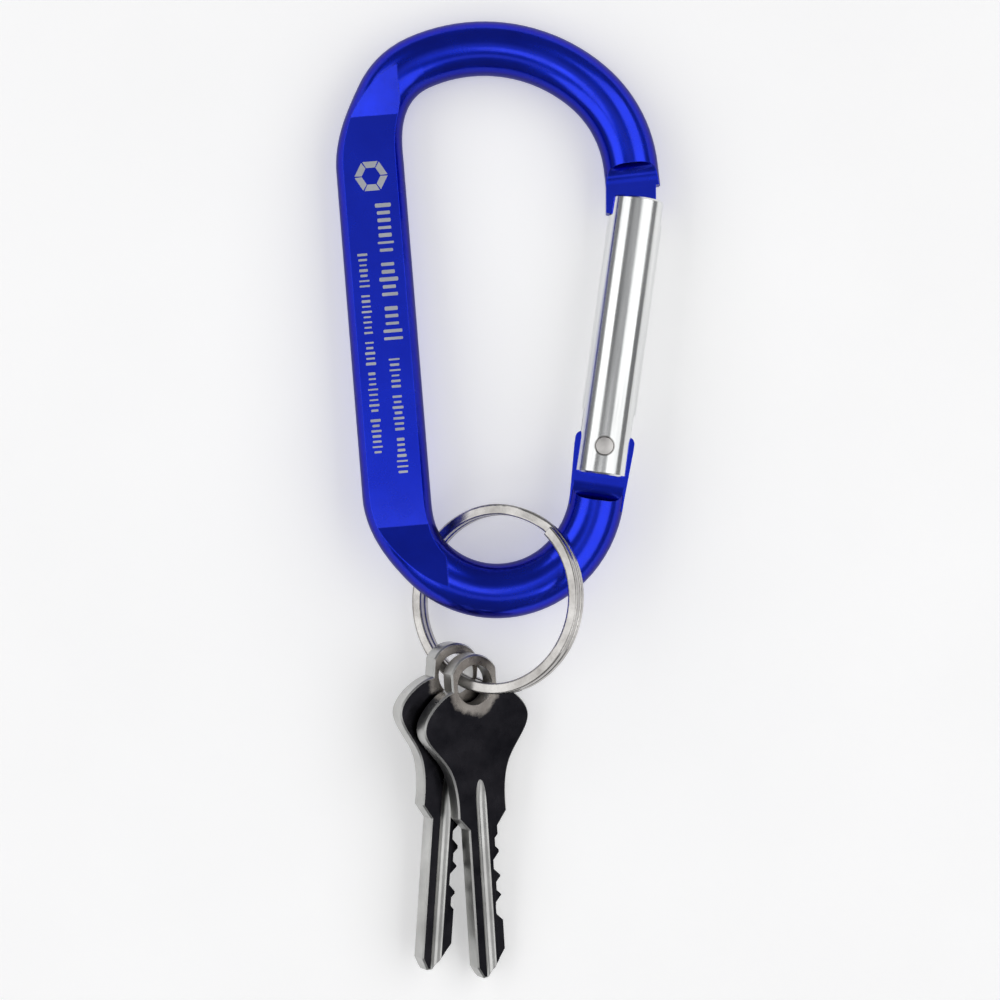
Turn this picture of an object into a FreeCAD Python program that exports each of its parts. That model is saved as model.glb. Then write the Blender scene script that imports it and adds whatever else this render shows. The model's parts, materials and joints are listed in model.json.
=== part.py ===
"""Carabiner keyring: an aluminium spring-gate carabiner, a steel split ring and two padlock keys.

The keyring lies on a flat surface. +X is across the carabiner with the gate on the +X side, +Y runs
from the keys to the carabiner's top bow, and +Z is up. The origin is under the middle of the
whole keyring's box, on the surface. The carabiner is drawn in a frame of its own, whose Z axis is
the gate's rivet, and then laid with its top bow on the surface and its lower bow on the ring.
Millimetres throughout.
"""
import FreeCAD, Part
import math
import os

V = FreeCAD.Vector

# ---- carabiner frame: a round rod bent to an open ring, pressed flat along the spine ----
ROD_D = 7.28
SPINE_W = 9.1
SPINE_T = 4.6
SPINE_L = 43.7
HINGE_TO_BOW = 7.2
# Bends from the hinge round to the nose, each a centreline radius and the angle it turns.
BOW_HINGE_SIDE = (14.2, 42.0)
BOW_BOTTOM = (12.9, 80.0)
BOW_SPINE_SIDE = (14.2, 45.3)
SHOULDER_LOW = (19.4, 29.7)
SHOULDER_HIGH = (9.4, 40.7)
TOP_BOW = (21.35, 64.9)
NOSE_BEND = (16.6, 42.9)
# How far the widened spine runs into the bend at each end before it is round rod again.
WIDE_LOW_TURN = 40.0
# The pressed flat runs past the straight spine, then ramps up to the rod's crown.
FLAT_PAST_LOW = 4.3
FLAT_PAST_HIGH = 6.8
RAMP_LOW = 9.8
RAMP_HIGH = 7.0
DIE_EDGE_LOW = 6.0
DIE_EDGE_HIGH = 4.7

# ---- tongues at the hinge and at the nose, milled from the rod ----
TONGUE_T = 2.6
HINGE_TONGUE_W = 7.9
HINGE_TONGUE_NECK = 7.5
HINGE_TONGUE_NECK_AT = -4.0
HINGE_TONGUE_TOP = 1.75
TONGUE_CORNER_R = 0.9
NOSE_TONGUE_W = 6.65
NOSE_TONGUE_REACH = 6.4
NOSE_TONGUE_SLANT = 1.49

# ---- gate ----
GATE_D = 7.24
GATE_LEAN = 8.0
GATE_TOP = 33.5
GATE_FOOT = 3.75
GATE_EDGE_BREAK = 0.25
SLOT_W = 2.9
HINGE_SLOT_TOP = 4.75
LATCH_GAP = 0.12
SPRING_BORE_END = 22.0

# ---- rivet, plunger and spring ----
RIVET_D = 2.0
RIVET_HEAD_D = 2.3
RIVET_HEAD_SEAT = 3.15
RIVET_CROWN = 3.74
RIVET_DOME = 0.16
RIVET_RUNNING_GAP = 0.05
PLUNGER_D = 2.7
PLUNGER_L = 6.0
PLUNGER_REST_GAP = 0.06
SPIGOT_D = 1.4
SPIGOT_L = 2.2
SPRING_D = 2.5
SPRING_WIRE = 0.36
SPRING_TURNS = 9
SPRING_END_GAP = 0.02

# ---- split ring: two turns of flat wire joined by a crank ----
RING_D = 25.2
WIRE_W = 1.44
WIRE_T = 1.05
TURN_GAP = 0.07
WIRE_ROUND = 0.3
CRANK_TURN = 30.0
CRANK_AT = 50.0
CRANK_STEPS = 8
# Each turn stops this many degrees short of the crank that it would run into.
TURN_STOP = 3.0

# ---- keys ----
KEY_T = 2.3
KEY_HOLE_D = 5.4
KEY_TAB_TOP = 4.1
KEY_TAB_W = 7.0
KEY_BOW_W = 16.4
KEY_SHOULDER_W = 7.6
KEY_BLADE_W = 4.6
KEY_SHOULDER_END = 17.6
KEY_BLADE_START = 19.4
KEY_LENGTH = 39.8
KEY_TAB_SIDE = 1.9
KEY_POINT_RIGHT = 3.4
KEY_POINT_LEFT = 1.6
KEY_EDGE_BREAK = 0.2
# Each groove: how far right of the middle it runs, and how far below the hole it starts.
FRONT_GROOVE = (-0.15, 16.6)
BACK_GROOVE = (-1.0, 19.0)
GROOVE_ROUND = 0.9
GROOVE_DEPTH = 0.5
CUTTER_R = 14.0
RELIEF_W = 1.15
RELIEF_DEPTH = 0.35
FIRST_CUT = 21.7
CUT_SPACING = 3.0
CUT_FLOOR = 1.1
FRONT_CUTS = (0.5, 1.0, 0.7, 1.2)
REAR_CUTS = (0.9, 0.6, 1.1, 0.5)

# ---- how the pieces lie ----
RING_ROLL = 29.5
RING_PITCH = 5.0
RING_CENTRE = V(-14.2, -20.1, 8.1)
BOW_HEIGHT = 7.6
KEY_ROLL = 33.0
KEY_PITCH = 5.4
# Each key: how far round the ring from its lowest point it hangs, and how far it turns in its own plane.
FRONT_KEY = (20.0, 4.2)
REAR_KEY = (36.0, -4.5)
# The wire isn't quite in the middle of a key's hole.
KEY_LIFT = V(0, 0, 0.25)


# ---------------------------------------------------------------- small helpers
def polar(radius, degrees, height=0.0):
    angle = math.radians(degrees)
    return V(radius * math.cos(angle), radius * math.sin(angle), height)


def ellipse_wire(centre, across, width, thickness):
    """An upright ellipse round a point of the rod, 'across' being the way its width lies."""
    side = across * (width / 2)
    up = V(0, 0, thickness / 2)
    curve = Part.Ellipse(centre + side, centre + up, centre)
    if width < thickness:
        curve = Part.Ellipse(centre + up, centre + side, centre)
    return Part.Wire(curve.toShape())


def circle_wire(centre, normal, diameter):
    return Part.Wire(Part.Circle(centre, normal, diameter / 2).toShape())


def prism(points, height):
    """A plate from a closed polygon, centred on its own plane."""
    face = Part.Face(Part.makePolygon(points + [points[0]]))
    plate = face.extrude(V(0, 0, height))
    plate.translate(V(0, 0, -height / 2))
    return plate


def joined(shapes):
    solid = shapes[0].fuse(shapes[1:]).removeSplitter()
    return solid.Solids[0] if len(solid.Solids) == 1 else solid


def blend(share):
    """Smooth step from 0 to 1."""
    return share * share * (3 - 2 * share)


# ---------------------------------------------------------------- the rod's centreline
class Bend:
    """One stretch of the centreline turning clockwise, or straight when the radius is None."""

    def __init__(self, start, heading, radius, amount):
        self.start, self.heading, self.radius, self.amount = start, heading, radius, amount
        if radius is None:
            self.end = start + polar(amount, heading)
            self.end_heading = heading
        else:
            self.centre = start + polar(radius, heading - 90)
            self.end = self.centre + polar(radius, heading + 90 - amount)
            self.end_heading = heading - amount

    def rod(self):
        section = Part.Face(circle_wire(self.start, polar(1, self.heading), ROD_D))
        if self.radius is None:
            return section.extrude(self.end - self.start)
        return section.revolve(self.centre, V(0, 0, -1), self.amount)

    def station(self, turn):
        """The centreline point and the outward direction after turning so far."""
        outward = polar(1, self.heading + 90 - turn)
        return self.centre + outward * self.radius, outward

    def split(self, turn):
        first = Bend(self.start, self.heading, self.radius, turn)
        return first, Bend(first.end, first.end_heading, self.radius, self.amount - turn)


def centreline():
    heading = 270 - GATE_LEAN
    start = polar(HINGE_TO_BOW, heading)
    bends = []
    steps = [BOW_HINGE_SIDE, BOW_BOTTOM, BOW_SPINE_SIDE, (None, SPINE_L),
             SHOULDER_LOW, SHOULDER_HIGH, TOP_BOW, NOSE_BEND]
    for radius, amount in steps:
        bends.append(Bend(start, heading, radius, amount))
        start, heading = bends[-1].end, bends[-1].end_heading
    return bends


def widening(bend, from_width, to_width, steps=8):
    """The rod swelling sideways along one bend, where it runs into the pressed spine."""
    wires = []
    for step in range(steps + 1):
        share = step / steps
        point, outward = bend.station(bend.amount * share)
        width = from_width + (to_width - from_width) * blend(share)
        wires.append(ellipse_wire(point, outward, width, ROD_D))
    return Part.makeLoft(wires, True, False)


def die(spine, side):
    """The press tool's space over one face of the spine: a flat with a ramp at each end."""
    along = polar(1, spine.heading)
    across = polar(1, spine.heading - 90)
    clear = 2.0
    flat = SPINE_T / 2
    crown = ROD_D / 2
    low_end = -FLAT_PAST_LOW
    high_end = SPINE_L + FLAT_PAST_HIGH
    middle = (low_end + high_end) / 2
    rise = crown - flat + clear

    def half(end, ramp, edge):
        sign = 1 if end > middle else -1
        reach = end + sign * ramp * rise / (crown - flat)
        profile = [(middle, flat), (end, flat), (reach, flat + rise), (middle, flat + rise)]
        points = [spine.start + along * s - across * 8 + V(0, 0, z * side) for s, z in profile]
        return Part.Face(Part.makePolygon(points + [points[0]])).extrude(across * (8 + edge))

    low = half(low_end, RAMP_LOW, DIE_EDGE_LOW)
    high = half(high_end, RAMP_HIGH, DIE_EDGE_HIGH)
    return low, high


# ---------------------------------------------------------------- carabiner frame
def milled_step(root, heading, side):
    """The cutter's space beside a tongue: a flat floor that curves up to the full rod."""
    along = polar(1, heading)
    across = polar(1, heading - 90)
    floor = TONGUE_T / 2
    sweep = ROD_D / 2 - floor
    wide = 12.0
    corner = root + along * sweep

    def at(s, z):
        return corner + along * s - across * (wide / 2) + V(0, 0, z * side)

    arc = Part.Arc(at(-sweep, floor + sweep), at(-sweep * math.sin(math.pi / 4),
                   floor + sweep * (1 - math.cos(math.pi / 4))), at(0, floor)).toShape()
    edges = [arc,
             Part.makeLine(at(0, floor), at(wide, floor)),
             Part.makeLine(at(wide, floor), at(wide, floor + sweep + 1)),
             Part.makeLine(at(wide, floor + sweep + 1), at(-sweep, floor + sweep + 1)),
             Part.makeLine(at(-sweep, floor + sweep + 1), at(-sweep, floor + sweep))]
    return Part.Face(Part.Wire(edges)).extrude(across * wide)


def hinge_tongue():
    """The flat tongue that the gate straddles, with rounded top corners."""
    up = polar(1, 90 - GATE_LEAN)
    right = polar(1, -GATE_LEAN)
    half_widths = [(-HINGE_TO_BOW - 1.0, ROD_D / 2 - 0.1), (HINGE_TONGUE_NECK_AT, HINGE_TONGUE_NECK / 2),
                   (0.0, HINGE_TONGUE_W / 2), (HINGE_TONGUE_TOP, HINGE_TONGUE_W / 2)]
    points = [up * height + right * half for height, half in half_widths]
    points += [up * height - right * half for height, half in reversed(half_widths)]
    plate = prism(points, TONGUE_T)
    corners = [edge for edge in plate.Edges
               if abs(edge.CenterOfMass.z) < 0.01 and edge.CenterOfMass.dot(up) > HINGE_TONGUE_TOP - 0.01]
    return plate.makeFillet(TONGUE_CORNER_R, corners)


def rivet_bore(gap):
    """The space of the rivet's shank, right through, with a gap all round it."""
    return Part.makeCylinder(RIVET_D / 2 + gap, 2 * ROD_D, V(0, 0, -ROD_D))


def nose_tongue_outline(nose, drop=0.0, spread=0.0, lift=0.0):
    """The nose tongue seen from the front; its slanted end is what the closed gate bears on."""
    left = nose.x - NOSE_TONGUE_W / 2
    right = left + NOSE_TONGUE_W
    end_left = nose.y - NOSE_TONGUE_REACH
    slope = NOSE_TONGUE_SLANT / NOSE_TONGUE_W
    top = nose.y + lift
    return [V(left - spread, top, 0), V(left - spread, end_left - drop + slope * spread, 0),
            V(right + spread, end_left - drop - slope * (NOSE_TONGUE_W + spread), 0),
            V(right + spread, top, 0)]


def carabiner_frame(bends):
    hinge_side, bottom, spine_side, spine, low, high, top, nose = bends
    swell_rod, swell = spine_side.split(spine_side.amount - WIDE_LOW_TURN)
    spine_section = Part.Face(ellipse_wire(spine.start, polar(1, spine.heading + 90), SPINE_W, ROD_D))
    spine_bar = spine_section.extrude(spine.end - spine.start)
    pieces = [bend.rod() for bend in (hinge_side, bottom, swell_rod, high, top, nose)]
    pieces += [widening(swell, ROD_D, SPINE_W), spine_bar, widening(low, SPINE_W, ROD_D)]

    stub = Bend(hinge_side.start, 90 - GATE_LEAN, None, 3.0).rod()
    nose_stub = Bend(nose.end, nose.end_heading, None, 3.0).rod()
    nose_tongue = prism(nose_tongue_outline(nose.end, lift=1.0), TONGUE_T)
    body = joined(pieces + [stub, nose_stub])
    for side in (1, -1):
        for space in die(spine, side):
            body = body.cut(space)
        body = body.cut(milled_step(hinge_side.start, 90 - GATE_LEAN, side))
        body = body.cut(milled_step(nose.end, nose.end_heading, side))
    return joined([body, hinge_tongue(), nose_tongue]).cut(rivet_bore(RIVET_RUNNING_GAP))


# ---------------------------------------------------------------- gate and what is in it
def along_gate(shape):
    """Turns a shape drawn upright (Y along the gate) to the gate's lean."""
    shape.rotate(V(0, 0, 0), V(0, 0, 1), -GATE_LEAN)
    return shape


def upright_cylinder(diameter, low, high):
    return Part.makeCylinder(diameter / 2, high - low, V(0, low, 0), V(0, 1, 0))


def gate(nose):
    barrel = upright_cylinder(GATE_D, -GATE_FOOT, GATE_TOP)
    barrel = barrel.makeChamfer(GATE_EDGE_BREAK, [edge for edge in barrel.Edges if len(edge.Vertexes) == 1])
    hinge_slot = Part.makeBox(12, HINGE_SLOT_TOP + 8, SLOT_W, V(-6, -8, -SLOT_W / 2))
    bore = upright_cylinder(SLOT_W, HINGE_SLOT_TOP - 1, SPRING_BORE_END)
    barrel = along_gate(barrel.cut(hinge_slot).cut(bore))
    latch_slot = prism(nose_tongue_outline(nose, drop=LATCH_GAP, spread=6.0), SLOT_W)
    barrel = barrel.cut(latch_slot)
    barrel = barrel.cut(rivet_bore(0.0))
    for side in (1, -1):
        seat = Part.makeCylinder(RIVET_HEAD_D / 2, 3, V(0, 0, side * RIVET_HEAD_SEAT), V(0, 0, side))
        barrel = barrel.cut(seat)
    return barrel


def gate_rivet():
    """A shank with a shallow domed head at each end, set into the gate's cheeks."""
    rim = RIVET_HEAD_D / 2
    dome_radius = (rim ** 2 + RIVET_DOME ** 2) / (2 * RIVET_DOME)
    pieces = [Part.makeCylinder(RIVET_D / 2, 2 * RIVET_HEAD_SEAT, V(0, 0, -RIVET_HEAD_SEAT))]
    for side in (1, -1):
        seat = V(0, 0, side * RIVET_HEAD_SEAT)
        disc = Part.makeCylinder(rim, RIVET_CROWN - RIVET_HEAD_SEAT, seat, V(0, 0, side))
        dome = Part.makeSphere(dome_radius, V(0, 0, side * (RIVET_CROWN - dome_radius)))
        pieces.append(disc.common(dome))
    return joined(pieces)


def plunger_foot():
    return HINGE_TONGUE_TOP + PLUNGER_REST_GAP


def spring_plunger():
    foot = plunger_foot()
    shoulder = foot + PLUNGER_L
    body = upright_cylinder(PLUNGER_D, foot, shoulder)
    spigot = upright_cylinder(SPIGOT_D, shoulder, shoulder + SPIGOT_L)
    return along_gate(body.fuse(spigot).removeSplitter())


def gate_spring():
    """A compression spring from the plunger's shoulder to the blind end of the bore."""
    start = plunger_foot() + PLUNGER_L + SPRING_WIRE / 2 + SPRING_END_GAP
    end = SPRING_BORE_END - SPRING_WIRE / 2 - SPRING_END_GAP
    radius = (SPRING_D - SPRING_WIRE) / 2
    helix = Part.makeLongHelix((end - start) / SPRING_TURNS, end - start, radius)
    section = circle_wire(V(radius, 0, 0), V(0, 1, 0), SPRING_WIRE)
    coil = Part.Wire(helix.Edges).makePipeShell([section], True, True)
    coil.rotate(V(0, 0, 0), V(1, 0, 0), -90)
    coil.translate(V(0, start, 0))
    return along_gate(coil)


# ---------------------------------------------------------------- split ring
def wire_section(angle, height):
    """The flat wire's rounded section, standing on the radius at one angle of the ring."""
    inner = RING_D / 2 - WIRE_W
    outer = RING_D / 2
    low = height - WIRE_T / 2
    high = height + WIRE_T / 2
    c = WIRE_ROUND
    k = c * (1 - math.sqrt(0.5))
    straight = [((inner + c, low), (outer - c, low)), ((outer, low + c), (outer, high - c)),
                ((outer - c, high), (inner + c, high)), ((inner, high - c), (inner, low + c))]
    bulge = [(outer - k, low + k), (outer - k, high - k), (inner + k, high - k), (inner + k, low + k)]
    edges = []
    for index, (a, b) in enumerate(straight):
        following = straight[(index + 1) % 4][0]
        edges.append(Part.makeLine(polar(a[0], angle, a[1]), polar(b[0], angle, b[1])))
        points = [polar(r, angle, z) for r, z in (b, bulge[index], following)]
        edges.append(Part.Arc(*points).toShape())
    return Part.Wire(edges)


def split_ring():
    """One turn, a crank that climbs to the next layer, and a second turn on top of the first."""
    layer = (WIRE_T + TURN_GAP) / 2
    crank_end = CRANK_AT + CRANK_TURN
    flat_turn = 360 - CRANK_TURN - TURN_STOP
    lower = Part.Face(wire_section(CRANK_AT, -layer)).revolve(V(0, 0, 0), V(0, 0, -1), flat_turn)
    upper = Part.Face(wire_section(crank_end, layer)).revolve(V(0, 0, 0), V(0, 0, 1), flat_turn)
    sections = []
    for step in range(CRANK_STEPS + 1):
        share = step / CRANK_STEPS
        sections.append(wire_section(CRANK_AT + CRANK_TURN * share, layer * (2 * blend(share) - 1)))
    crank = Part.makeLoft(sections, True, False)
    return joined([lower, crank, upper])


# ---------------------------------------------------------------- keys
def bow_side():
    """Points down the bow's right side, from the tab past the widest place to the shoulder's end."""
    tab = KEY_TAB_W / 2
    bow = KEY_BOW_W / 2
    shoulder = KEY_SHOULDER_W / 2
    return [V(tab, -0.4, 0), V(bow - 2.0, -1.9, 0), V(bow, -5.2, 0), V(bow - 1.7, -8.4, 0),
            V(shoulder + 0.9, -11.0, 0), V(shoulder + 0.1, -14.0, 0), V(shoulder, -KEY_SHOULDER_END, 0)]


def key_blank():
    """The key's plate with its tab, bow, shoulder, blade and pointed end, its edges slightly broken."""
    tab = KEY_TAB_W / 2
    blade = KEY_BLADE_W / 2
    right = bow_side()
    left = [V(-point.x, point.y, 0) for point in reversed(right)]

    def smooth(points):
        curve = Part.BSplineCurve()
        curve.interpolate(points)
        return curve.toShape()

    crown = Part.Arc(V(-tab, KEY_TAB_SIDE, 0), V(0, KEY_TAB_TOP, 0), V(tab, KEY_TAB_SIDE, 0)).toShape()
    end = [right[-1], V(blade, -KEY_BLADE_START, 0), V(blade, -KEY_LENGTH + KEY_POINT_RIGHT, 0),
           V(-0.4, -KEY_LENGTH, 0), V(-1.4, -KEY_LENGTH, 0), V(-blade, -KEY_LENGTH + KEY_POINT_LEFT, 0),
           V(-blade, -KEY_BLADE_START, 0), left[0]]
    edges = [crown, Part.makeLine(V(tab, KEY_TAB_SIDE, 0), right[0]), smooth(right)]
    edges += [Part.makeLine(start, stop) for start, stop in zip(end, end[1:])]
    edges += [smooth(left), Part.makeLine(left[-1], V(-tab, KEY_TAB_SIDE, 0))]
    blank = Part.Face(Part.Wire(edges)).extrude(V(0, 0, KEY_T))
    blank.translate(V(0, 0, -KEY_T / 2))
    rims = [edge for edge in blank.Edges if abs(abs(edge.CenterOfMass.z) - KEY_T / 2) < 1e-6]
    return blank.makeChamfer(KEY_EDGE_BREAK, rims)


def bitting(depths):
    """Evenly spaced notches down the blade's right edge, each with sloping sides."""
    edge = KEY_BLADE_W / 2
    notches = []
    for index, depth in enumerate(depths):
        place = -FIRST_CUT - index * CUT_SPACING
        floor = CUT_FLOOR / 2
        mouth = floor + depth + 1
        points = [V(edge - depth, place + floor, 0), V(edge - depth, place - floor, 0),
                  V(edge + 1, place - mouth, 0), V(edge + 1, place + mouth, 0)]
        notches.append(prism(points, KEY_T + 2))
    return notches


def groove(across, start):
    """A round-bottomed groove down the blade, which a cutter wheel leaves in a long point at its start."""
    height = KEY_T / 2 - GROOVE_DEPTH + GROOVE_ROUND
    straight = Part.makeCylinder(GROOVE_ROUND, KEY_LENGTH - start + 2, V(across, -start, height), V(0, -1, 0))
    wheel = Part.makeTorus(CUTTER_R, GROOVE_ROUND, V(across, -start, height + CUTTER_R), V(1, 0, 0))
    return straight.fuse(wheel)


def relief():
    """The shallow step that thins the blade along its notched edge."""
    return Part.makeBox(RELIEF_W + 1, KEY_LENGTH - KEY_BLADE_START + 2, RELIEF_DEPTH + 1,
                        V(KEY_BLADE_W / 2 - RELIEF_W, -KEY_LENGTH - 2, KEY_T / 2 - RELIEF_DEPTH))


def turned_over(tool):
    """The same cut made from the key's other face."""
    return tool.mirror(V(0, 0, 0), V(0, 0, 1))


def key(depths):
    hole = Part.makeCylinder(KEY_HOLE_D / 2, KEY_T + 2, V(0, 0, -KEY_T / 2 - 1))
    tools = [hole, groove(*FRONT_GROOVE), turned_over(groove(*BACK_GROOVE)), relief(), turned_over(relief())]
    body = key_blank()
    for tool in tools + bitting(depths):
        body = body.cut(tool)
    return body.Solids[0]


# ---------------------------------------------------------------- laying the pieces out
def lay_carabiner(shape, bends):
    """Tips the carabiner about X so that its top bow is on the surface and its low bow is raised."""
    low = bends[1].station(bends[1].amount / 2)[0]
    top = bends[6].station(bends[6].amount / 2)[0]
    pitch = math.degrees(math.asin((BOW_HEIGHT - ROD_D / 2) / (top.y - low.y)))
    placed = shape.copy()
    placed.translate(V(0, -low.y, 0))
    placed.rotate(V(0, 0, 0), V(1, 0, 0), -pitch)
    placed.translate(V(0, low.y, BOW_HEIGHT))
    return placed


def lay_ring(shape):
    placed = shape.copy()
    placed.rotate(V(0, 0, 0), V(0, 1, 0), -RING_ROLL)
    placed.rotate(V(0, 0, 0), V(1, 0, 0), -RING_PITCH)
    placed.translate(RING_CENTRE)
    return placed


def wire_point(angle):
    """The middle of the laid ring's wire, so far round from its lowest point towards -X."""
    point = Part.Vertex(polar((RING_D - WIRE_W) / 2, 270 - angle))
    return lay_ring(point).Point


def lay_key(shape, angle, turn):
    placed = shape.copy()
    placed.rotate(V(0, 0, 0), V(0, 0, 1), turn)
    placed.rotate(V(0, 0, 0), V(0, 1, 0), KEY_ROLL)
    placed.rotate(V(0, 0, 0), V(1, 0, 0), KEY_PITCH)
    placed.translate(wire_point(angle) + KEY_LIFT)
    return placed


def build():
    bends = centreline()
    nose = bends[-1].end
    upper = {
        "carabiner_frame": carabiner_frame(bends),
        "gate": gate(nose),
        "gate_rivet": gate_rivet(),
        "spring_plunger": spring_plunger(),
        "gate_spring": gate_spring(),
    }
    parts = {name: lay_carabiner(shape, bends) for name, shape in upper.items()}
    parts["split_ring"] = lay_ring(split_ring())
    parts["key_front"] = lay_key(key(FRONT_CUTS), *FRONT_KEY)
    parts["key_rear"] = lay_key(key(REAR_CUTS), *REAR_KEY)
    return parts


def centred(parts):
    """Moves the laid pieces so that the origin is under the middle of their common box."""
    box = Part.makeCompound(list(parts.values())).optimalBoundingBox(False, False)
    shift = V(-box.Center.x, -box.Center.y, -box.ZMin)
    return {name: shape.translated(shift) for name, shape in parts.items()}, shift


def main():
    os.makedirs("parts", exist_ok=True)
    parts, shift = centred(build())
    for name, shape in parts.items():
        shape.exportStep(f"parts/{name}.step")
        print(f"{name}: {shape.Volume:.1f} mm3, valid {shape.isValid()}, solids {len(shape.Solids)}")
    print("moved by", shift)


main()
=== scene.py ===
"""Carabiner keyring: materials, surface marks, soft light and the camera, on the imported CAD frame."""
import bpy
import json
import math
import random
from mathutils import Matrix, Vector


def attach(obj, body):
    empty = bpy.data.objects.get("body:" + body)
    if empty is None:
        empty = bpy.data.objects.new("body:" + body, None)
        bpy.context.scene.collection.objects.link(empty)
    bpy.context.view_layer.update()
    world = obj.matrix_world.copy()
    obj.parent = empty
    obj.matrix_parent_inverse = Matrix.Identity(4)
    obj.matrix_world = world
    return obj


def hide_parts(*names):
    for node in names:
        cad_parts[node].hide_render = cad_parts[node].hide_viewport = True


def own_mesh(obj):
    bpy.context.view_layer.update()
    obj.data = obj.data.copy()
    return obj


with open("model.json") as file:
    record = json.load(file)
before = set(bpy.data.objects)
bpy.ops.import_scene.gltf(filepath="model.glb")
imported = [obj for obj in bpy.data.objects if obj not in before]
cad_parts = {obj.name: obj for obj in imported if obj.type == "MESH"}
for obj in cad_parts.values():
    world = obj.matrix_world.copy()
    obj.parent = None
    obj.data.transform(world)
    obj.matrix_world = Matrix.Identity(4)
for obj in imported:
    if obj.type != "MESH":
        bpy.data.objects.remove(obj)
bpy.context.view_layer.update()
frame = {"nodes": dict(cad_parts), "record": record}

MM = 0.001

# Lean of the gate and of the spine from +Y, in degrees
GATE_LEAN = 8.0
SPINE_LEAN = -4.7

# Finish of the metals; a pair is where a tone is full and where it has faded out
FINE_RELIEF = 0.02 * MM
RIVET_HEAD_R = 1.15 * MM
GREASE_REACH = (0.06 * MM, 0.28 * MM)
GREY_HOLE_REACH = (3.7 * MM, 4.5 * MM)
GREY_HOLE_UNEVEN = 0.5 * MM
KEY_RELIEF_DEPTH = 0.35 * MM
SAME_LEVEL = 0.02 * MM

# Marks on the spine; places are across it, then up it, from its middle
MARK_RISE = 0.015 * MM
EMBLEM_CENTRE = (0.1 * MM, 20.6 * MM)
EMBLEM_INNER_R = 1.25 * MM
EMBLEM_OUTER_R = 2.2 * MM
BAR_ROWS = {
    "spine_line_large": {"across": 1.35 * MM, "start": 16.6 * MM, "end": -2.6 * MM,
                         "height": 2.5 * MM, "pitch": 1.0 * MM},
    "spine_line_small": {"across": 1.2 * MM, "start": -4.0 * MM, "end": -19.6 * MM,
                         "height": 1.45 * MM, "pitch": 0.72 * MM},
    "spine_line_low": {"across": -1.9 * MM, "start": 10.2 * MM, "end": -16.6 * MM,
                       "height": 1.35 * MM, "pitch": 0.7 * MM},
}

# Studio and camera
FLOOR_HALF = 1.5
FLOOR_DROP = 0.02 * MM
FLOOR_GLOW = 0.28
VIEW_HEIGHT = 134.0 * MM
VIEW_MIDDLE = (0.1 * MM, 0, 3.0 * MM)


# ---------------------------------------------------------------- node helpers
def new_material(name):
    material = bpy.data.materials.new(name)
    material.use_nodes = True
    tree = material.node_tree
    shader = tree.nodes["Principled BSDF"]
    return material, tree, shader


def add(tree, kind, **settings):
    """A node with its attributes and input sockets set by name."""
    node = tree.nodes.new(kind)
    for key, value in settings.items():
        socket = key.replace("_", " ").title()
        if hasattr(node, key):
            setattr(node, key, value)
        else:
            node.inputs[socket].default_value = value
    return node


def stretched_noise(tree, scale, along=(1, 1, 1), turn=0.0, detail=4.0):
    """Noise in the part's own coordinates, drawn out by 'along' after a turn about Z in degrees."""
    place = add(tree, "ShaderNodeTexCoord")
    turned = add(tree, "ShaderNodeMapping", rotation=(0, 0, math.radians(turn)))
    drawn = add(tree, "ShaderNodeMapping", scale=along)
    noise = add(tree, "ShaderNodeTexNoise", scale=scale, detail=detail, roughness=0.6)
    tree.links.new(place.outputs["Object"], turned.inputs["Vector"])
    tree.links.new(turned.outputs["Vector"], drawn.inputs["Vector"])
    tree.links.new(drawn.outputs["Vector"], noise.inputs["Vector"])
    return noise.outputs["Fac"]


def mapped(tree, value, low, high, from_low=0.3, from_high=0.7):
    """A value spread over low to high; 0.3 to 0.7 is about what a noise gives."""
    spread = add(tree, "ShaderNodeMapRange")
    spread.inputs["From Min"].default_value = from_low
    spread.inputs["From Max"].default_value = from_high
    spread.inputs["To Min"].default_value = low
    spread.inputs["To Max"].default_value = high
    tree.links.new(value, spread.inputs["Value"])
    return spread.outputs["Result"]


def two_colours(tree, share, first, second):
    """A blend of two colours; either may be a colour or the output socket that makes it."""
    mix = add(tree, "ShaderNodeMix", data_type="RGBA")
    tree.links.new(share, mix.inputs[0])
    sockets = [socket for socket in mix.inputs if socket.type == "RGBA"]
    for socket, colour in zip(sockets, (first, second)):
        if isinstance(colour, tuple):
            socket.default_value = colour + (1,)
        else:
            tree.links.new(colour, socket)
    return next(socket for socket in mix.outputs if socket.type == "RGBA")


def bumped(tree, shader, height, strength, rounding):
    """Fine relief over a normal that rounds sharp edges off by 'rounding' metres."""
    bevel = add(tree, "ShaderNodeBevel", samples=6)
    bevel.inputs["Radius"].default_value = rounding
    bump = add(tree, "ShaderNodeBump")
    bump.inputs["Strength"].default_value = strength
    bump.inputs["Distance"].default_value = FINE_RELIEF
    tree.links.new(height, bump.inputs["Height"])
    tree.links.new(bevel.outputs["Normal"], bump.inputs["Normal"])
    tree.links.new(bump.outputs["Normal"], shader.inputs["Normal"])
    return bevel.outputs["Normal"]


def edge_share(tree, rounded_normal):
    """0 on open faces, rising to 1 where the rounded normal leaves the face's own, at its edges."""
    geometry = add(tree, "ShaderNodeNewGeometry")
    dot = add(tree, "ShaderNodeVectorMath", operation="DOT_PRODUCT")
    tree.links.new(rounded_normal, dot.inputs[0])
    tree.links.new(geometry.outputs["Normal"], dot.inputs[1])
    return mapped(tree, dot.outputs["Value"], 0, 1, 1.0, 0.65)


def joint(name):
    """One of the record's joints."""
    return next(j for j in frame["record"]["behaviour"]["joints"] if j["name"] == name)


def swing(name):
    """The place and the axis of a hinge."""
    hinge = joint(name)
    return Vector(hinge["pos_m"]), Vector(hinge["axis"]).normalized()


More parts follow.
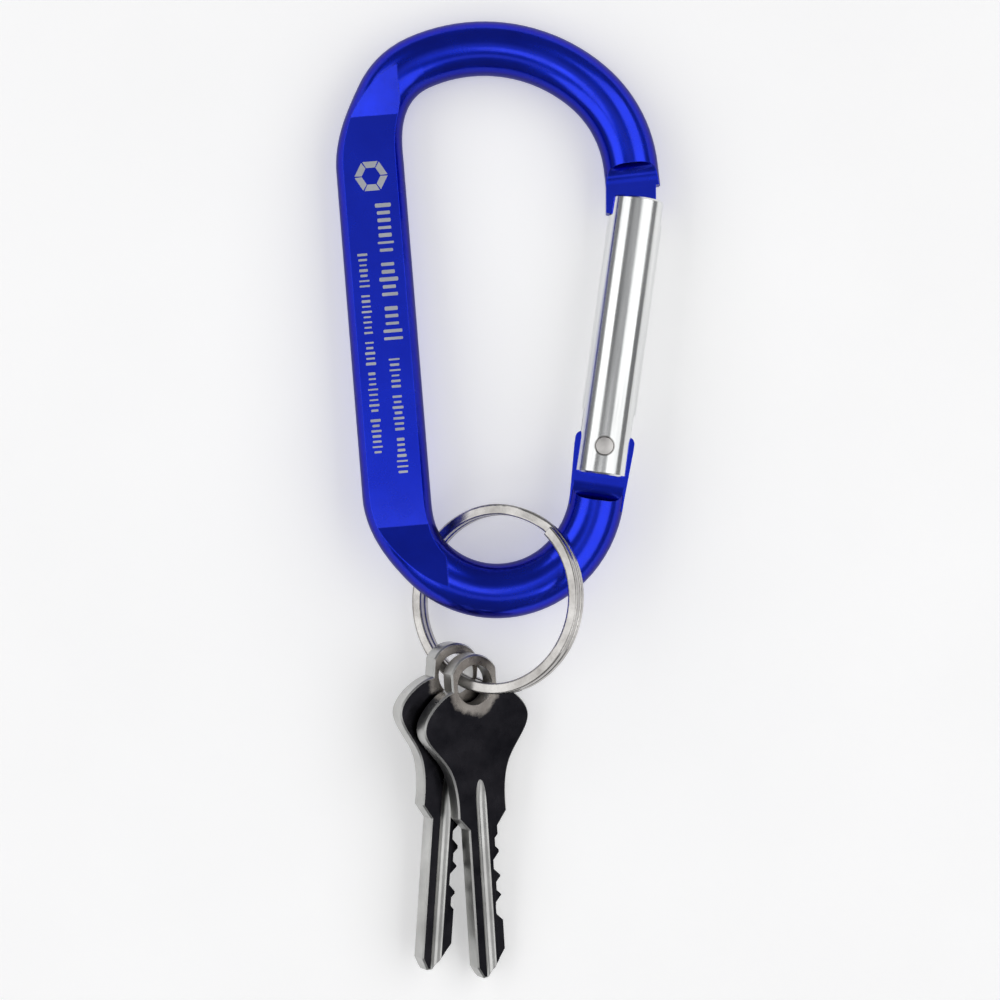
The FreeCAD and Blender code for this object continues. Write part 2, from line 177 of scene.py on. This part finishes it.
def painted_side_shade(tree):
    """0 on faces that look up or down, 1 on the sides of the rod, where shade is painted into the blue."""
    place = add(tree, "ShaderNodeTexCoord")
    parts = add(tree, "ShaderNodeSeparateXYZ")
    size = add(tree, "ShaderNodeMath", operation="ABSOLUTE")
    tree.links.new(place.outputs["Normal"], parts.inputs["Vector"])
    tree.links.new(parts.outputs["Z"], size.inputs[0])
    return mapped(tree, size.outputs["Value"], 1.0, 0.0, 0.35, 0.85)


# ---------------------------------------------------------------- materials
def anodised_blue():
    """Bright-dipped, blue anodised rod: a clear oxide coat, faint drawing lines, paler worn edges, and
    painted shade that darkens its sides.
    """
    material, tree, shader = new_material("anodised_blue")
    shader.inputs["Metallic"].default_value = 1.0
    shader.inputs["Specular Tint"].default_value = (0.10, 0.12, 0.60, 1)
    shader.inputs["Coat Weight"].default_value = 0.35
    shader.inputs["Coat Roughness"].default_value = 0.12
    dye = mapped(tree, stretched_noise(tree, 90, detail=3), 0, 1)
    blue = two_colours(tree, dye, (0.004, 0.024, 0.66), (0.008, 0.034, 0.78))
    grain = stretched_noise(tree, 2600, along=(1, 0.12, 1), turn=SPINE_LEAN, detail=5)
    rounded = bumped(tree, shader, grain, 0.10, 0.18 * MM)
    worn = add(tree, "ShaderNodeMath", operation="MULTIPLY")
    tree.links.new(edge_share(tree, rounded), worn.inputs[0])
    tree.links.new(mapped(tree, stretched_noise(tree, 700), 0.0, 0.35), worn.inputs[1])
    # Painted shade: the sides of the rod are darkened to stand for the shadowed floor they reflect.
    side_shaded = two_colours(tree, painted_side_shade(tree), blue, (0.001, 0.006, 0.22))
    colour = two_colours(tree, worn.outputs["Value"], side_shaded, (0.20, 0.24, 0.80))
    tree.links.new(colour, shader.inputs["Base Color"])
    tree.links.new(mapped(tree, stretched_noise(tree, 260), 0.20, 0.30), shader.inputs["Roughness"])
    return material


def bright_metal(name, dark, light, rough, grain_scale, along, relief=0.06, rounding=0.12):
    """A plain metal with drawn or milled grain, uneven tone and polish; 'rounding' is in mm."""
    material, tree, shader = new_material(name)
    shader.inputs["Metallic"].default_value = 1.0
    tone = mapped(tree, stretched_noise(tree, 180, detail=4), 0, 1)
    tree.links.new(two_colours(tree, tone, dark, light), shader.inputs["Base Color"])
    grain = stretched_noise(tree, grain_scale, along=along, detail=6)
    bumped(tree, shader, grain, relief, rounding * MM)
    polish = stretched_noise(tree, 420, along=along)
    tree.links.new(mapped(tree, polish, *rough), shader.inputs["Roughness"])
    return material


def gate_metal():
    """Polished aluminium with lengthwise draw lines, and a dark line of grease round the rivet's head."""
    material, tree, shader = new_material("drawn_aluminium")
    shader.inputs["Metallic"].default_value = 1.0
    drawn = (1, 0.02, 1)
    tone = mapped(tree, stretched_noise(tree, 900, along=drawn, turn=GATE_LEAN, detail=6), 0, 1)
    metal = two_colours(tree, tone, (0.68, 0.69, 0.69), (0.90, 0.91, 0.90))
    pivot, axis = swing("gate_hinge")
    place = add(tree, "ShaderNodeTexCoord")
    away = add(tree, "ShaderNodeVectorMath", operation="SUBTRACT")
    away.inputs[1].default_value = pivot
    tree.links.new(place.outputs["Object"], away.inputs[0])
    across = add(tree, "ShaderNodeVectorMath", operation="CROSS_PRODUCT")
    across.inputs[1].default_value = axis
    tree.links.new(away.outputs["Vector"], across.inputs[0])
    radius = add(tree, "ShaderNodeVectorMath", operation="LENGTH")
    tree.links.new(across.outputs["Vector"], radius.inputs[0])
    full, faded = [RIVET_HEAD_R + reach for reach in GREASE_REACH]
    grease = mapped(tree, radius.outputs["Value"], 1.0, 0.0, full, faded)
    tree.links.new(two_colours(tree, grease, metal, (0.16, 0.15, 0.14)), shader.inputs["Base Color"])
    lines = stretched_noise(tree, 3000, along=drawn, turn=GATE_LEAN, detail=6)
    bumped(tree, shader, lines, 0.16, 0.12 * MM)
    polish = stretched_noise(tree, 700, along=drawn, turn=GATE_LEAN)
    tree.links.new(mapped(tree, polish, 0.12, 0.26), shader.inputs["Roughness"])
    return material


def marking_silver():
    """Laser-marked silver: the dye is gone and the bare metal is finely frosted."""
    return bright_metal("marking_silver", (0.46, 0.48, 0.54), (0.62, 0.64, 0.68),
                        (0.42, 0.58), 5200, (1, 1, 1), relief=0.2, rounding=0.02)


def painted_reflection_plating(name, hole):
    """Near-black metal, a painted dark reflection given as a black nickel coat, turning to grey metal
    round the hole that hangs on the ring.
    """
    material, tree, shader = new_material(name)
    shader.inputs["Metallic"].default_value = 1.0
    tone = mapped(tree, stretched_noise(tree, 260, detail=5), 0, 1)
    # Painted reflection: the near-black stands for the dark surroundings that the flat faces mirror.
    painted_reflection_coat = two_colours(tree, tone, (0.010, 0.010, 0.013), (0.026, 0.025, 0.030))
    bare = two_colours(tree, tone, (0.20, 0.18, 0.165), (0.42, 0.39, 0.36))
    place = add(tree, "ShaderNodeTexCoord")
    reach = add(tree, "ShaderNodeVectorMath", operation="DISTANCE")
    reach.inputs[1].default_value = hole
    tree.links.new(place.outputs["Object"], reach.inputs[0])
    uneven = add(tree, "ShaderNodeMath", operation="ADD")
    tree.links.new(reach.outputs["Value"], uneven.inputs[0])
    wander = mapped(tree, stretched_noise(tree, 500), -GREY_HOLE_UNEVEN, GREY_HOLE_UNEVEN)
    tree.links.new(wander, uneven.inputs[1])
    # Grey metal round the hole, where the painted dark gives way.
    grey_round_hole = mapped(tree, uneven.outputs["Value"], 1.0, 0.0, *GREY_HOLE_REACH)
    tree.links.new(two_colours(tree, grey_round_hole, painted_reflection_coat, bare), shader.inputs["Base Color"])
    grain = stretched_noise(tree, 1900, along=(1, 0.25, 1), detail=6)
    bumped(tree, shader, grain, 0.12, 0.10 * MM)
    tree.links.new(mapped(tree, stretched_noise(tree, 420), 0.22, 0.36), shader.inputs["Roughness"])
    return material


# ---------------------------------------------------------------- finishing the CAD pieces
def dress(node, material):
    """One material over the whole of a CAD node."""
    mesh = frame["nodes"][node].data
    mesh.materials.clear()
    mesh.materials.append(material)


def dress_key(node, hinge, milled):
    """Painted dark reflection on the two flat faces and on the step along the cuts; all other faces are
    milled bright.
    """
    hole, normal = swing(hinge)
    mesh = frame["nodes"][node].data
    mesh.materials.clear()
    mesh.materials.append(painted_reflection_plating("plating_" + node, hole))
    mesh.materials.append(milled)
    heights = [vertex.co.dot(normal) for vertex in mesh.vertices]
    for face in mesh.polygons:
        height = face.center.dot(normal)
        depth = min(height - min(heights), max(heights) - height)
        flat = abs(face.normal.dot(normal)) > 0.999
        # Faces that get the painted dark reflection: the flat faces and the step along the cuts.
        painted_reflection_face = flat and min(depth, abs(depth - KEY_RELIEF_DEPTH)) < SAME_LEVEL
        face.material_index = 0 if painted_reflection_face else 1


def sprung_coil(material):
    """A copy of the gate's spring as a piece on the gate, in place of the hidden CAD node."""
    mesh = frame["nodes"]["gate_spring"].data.copy()
    mesh.materials.clear()
    mesh.materials.append(material)
    coil = bpy.data.objects.new("gate_spring_coil", mesh)
    bpy.context.scene.collection.objects.link(coil)
    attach(coil, "gate")
    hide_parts("gate_spring")
    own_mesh(coil)


def dress_all():
    dress("carabiner_frame", anodised_blue())
    dress("gate", gate_metal())
    dress("gate_rivet", bright_metal("peened_steel", (0.66, 0.64, 0.62), (0.88, 0.86, 0.84),
                                     (0.38, 0.52), 2400, (1, 1, 1), relief=0.25))
    spring = bright_metal("spring_steel", (0.40, 0.40, 0.42), (0.55, 0.55, 0.57),
                          (0.2, 0.32), 3000, (1, 1, 1))
    dress("gate_spring", spring)
    dress("spring_plunger", spring)
    sprung_coil(spring)
    dress("split_ring", bright_metal("nickel_wire", (0.34, 0.325, 0.31), (0.70, 0.685, 0.665),
                                     (0.14, 0.26), 2600, (1, 1, 1), relief=0.10))
    milled = bright_metal("milled_edge", (0.42, 0.42, 0.41), (0.60, 0.60, 0.585),
                          (0.24, 0.40), 4200, (1, 0.2, 1), relief=0.25, rounding=0.08)
    dress_key("key_front", "front_key_swing", milled)
    dress_key("key_rear", "rear_key_swing", milled)


# ---------------------------------------------------------------- marks on the spine
def spine_frame():
    """The middle of the spine's front flat, the way up the spine, and the way out of the flat."""
    mount = next(m for m in frame["record"]["mounts"] if m["name"] == "spine_front_face")
    out = Vector(mount["axis"]).normalized()
    lean = math.radians(SPINE_LEAN)
    up = Vector((math.sin(lean), math.cos(lean), 0))
    up = (up - out * up.dot(out)).normalized()
    return Vector(mount["pos_m"]), up, out


def plate(points, rise):
    """A thin closed plate from a flat outline, 'rise' above the surface and as far below it."""
    count = len(points)
    top = [(x, y, rise) for x, y in points]
    foot = [(x, y, -rise) for x, y in points]
    faces = [list(range(count)), list(range(2 * count - 1, count - 1, -1))]
    for index in range(count):
        following = (index + 1) % count
        faces.append([following, index, index + count, following + count])
    return top + foot, faces


def rounded_bar(centre, width, height, corner, steps=4):
    """Outline of a bar with rounded corners, counter-clockwise."""
    outline = []
    for quarter in range(4):
        sign_x = 1 if quarter in (0, 3) else -1
        sign_y = 1 if quarter in (0, 1) else -1
        middle = (centre[0] + sign_x * (width / 2 - corner), centre[1] + sign_y * (height / 2 - corner))
        for step in range(steps + 1):
            angle = math.radians(90 * quarter + 90 * step / steps)
            outline.append((middle[0] + corner * math.cos(angle), middle[1] + corner * math.sin(angle)))
    return outline


def hexagon_side(centre, inner, outer, side):
    """Outline of one side of a hexagonal ring, with a small gap left at its corners."""
    gap = math.radians(2.5)
    start = math.radians(60 * side) + gap
    end = math.radians(60 * side + 60) - gap
    corners = [(outer, start), (outer, end), (inner, end), (inner, start)]
    return [(centre[0] + radius * math.cos(angle), centre[1] + radius * math.sin(angle))
            for radius, angle in corners]


def mark_piece(name, outlines, material):
    """Thin plates on the spine's flat; an outline's points are across the spine, then up it, in metres."""
    origin, up, out = spine_frame()
    across = up.cross(out)
    place = Matrix((across, up, out)).transposed().to_4x4()
    place.translation = origin
    vertices = []
    faces = []
    for outline in outlines:
        points, sides = plate(outline, MARK_RISE)
        faces += [[index + len(vertices) for index in side] for side in sides]
        vertices += points
    mesh = bpy.data.meshes.new(name)
    mesh.from_pydata(vertices, [], faces)
    mesh.transform(place)
    mesh.materials.append(material)
    piece = bpy.data.objects.new(name, mesh)
    bpy.context.scene.collection.objects.link(piece)
    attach(piece, "frame")


def bar_row(rng, across, start, end, height, pitch):
    """A row of short plain bars down the spine, in groups with gaps between them."""
    bars = []
    place = start
    while place > end:
        for _ in range(rng.randint(5, 9)):
            if place <= end:
                break
            stroke = pitch * rng.uniform(0.30, 0.55)
            tall = height * rng.choice((0.7, 0.85, 1.0))
            bars.append(rounded_bar((across, place), tall, stroke, corner=stroke * 0.3))
            place -= pitch
        place -= pitch * 0.9
    return bars


def add_marks():
    """A plain hexagon and three rows of bars, where the original has its mark and its lines."""
    silver = marking_silver()
    rng = random.Random(7)
    emblem = [hexagon_side(EMBLEM_CENTRE, EMBLEM_INNER_R, EMBLEM_OUTER_R, side) for side in range(6)]
    mark_piece("spine_emblem", emblem, silver)
    for name, row in BAR_ROWS.items():
        mark_piece(name, bar_row(rng, **row), silver)


# ---------------------------------------------------------------- studio
def pale_floor():
    """A wide pale light table under the keyring."""
    mesh = bpy.data.meshes.new("floor")
    corners = [(x * FLOOR_HALF, y * FLOOR_HALF, 0) for x, y in ((-1, -1), (1, -1), (1, 1), (-1, 1))]
    mesh.from_pydata(corners, [], [(0, 1, 2, 3)])
    floor = bpy.data.objects.new("floor", mesh)
    floor.location.z = -FLOOR_DROP
    bpy.context.scene.collection.objects.link(floor)
    material, tree, shader = new_material("pale_floor")
    tone = mapped(tree, stretched_noise(tree, 25), 0, 1)
    paper = two_colours(tree, tone, (0.90, 0.90, 0.90), (0.93, 0.93, 0.93))
    tree.links.new(paper, shader.inputs["Base Color"])
    shader.inputs["Roughness"].default_value = 0.85
    shader.inputs["Emission Color"].default_value = (1, 1, 1, 1)
    shader.inputs["Emission Strength"].default_value = FLOOR_GLOW
    mesh.materials.append(material)


def soft_light(name, place, aim, width, length, brightness):
    """A rectangular soft light with its 'length' along Y; 'brightness' is the radiance it shows."""
    data = bpy.data.lights.new(name, "AREA")
    data.shape = "RECTANGLE"
    data.size = width
    data.size_y = length
    data.energy = brightness * math.pi * width * length
    light = bpy.data.objects.new(name, data)
    light.location = place
    facing = (Vector(place) - Vector(aim)).normalized()
    long_side = Vector((0, 1, 0))
    long_side = (long_side - facing * long_side.dot(facing)).normalized()
    light.rotation_euler = Matrix((long_side.cross(facing), long_side, facing)).transposed().to_euler()
    bpy.context.scene.collection.objects.link(light)


def studio_world():
    """A dim surround, paler straight overhead like a white ceiling."""
    world = bpy.data.worlds.new("studio")
    bpy.context.scene.world = world
    world.use_nodes = True
    tree = world.node_tree
    background = tree.nodes["Background"]
    direction = add(tree, "ShaderNodeTexCoord")
    parts = add(tree, "ShaderNodeSeparateXYZ")
    tree.links.new(direction.outputs["Generated"], parts.inputs["Vector"])
    overhead = mapped(tree, parts.outputs["Z"], 0, 1, 0.93, 0.985)
    colour = two_colours(tree, overhead, (0.20, 0.20, 0.205), (0.46, 0.46, 0.47))
    tree.links.new(colour, background.inputs["Color"])


def studio():
    pale_floor()
    middle = (0, 0, 0)
    soft_light("left_strip", (-0.45, 0.02, 0.40), middle, width=0.40, length=1.1, brightness=1.15)
    soft_light("right_strip", (0.41, 0.02, 0.44), middle, width=0.50, length=1.1, brightness=1.10)
    soft_light("overhead", (-0.15, -0.025, 0.60), (-0.15, -0.025, 0),
               width=0.31, length=0.17, brightness=1.15)
    soft_light("near_panel", (0.0, -0.33, 0.52), middle, width=0.50, length=0.15, brightness=0.5)
    studio_world()


def camera():
    """Straight down on the keyring, with the carabiner's top bow at the top of the picture."""
    data = bpy.data.cameras.new("camera")
    data.lens = 120
    data.sensor_width = 36
    data.clip_start = 0.01
    eye = bpy.data.objects.new("camera", data)
    distance = VIEW_HEIGHT * data.lens / data.sensor_width
    eye.location = Vector(VIEW_MIDDLE) + Vector((0, 0, distance))
    bpy.context.scene.collection.objects.link(eye)
    bpy.context.scene.camera = eye


dress_all()
add_marks()
studio()
camera()
bpy.context.scene.view_settings.view_transform = "Standard"
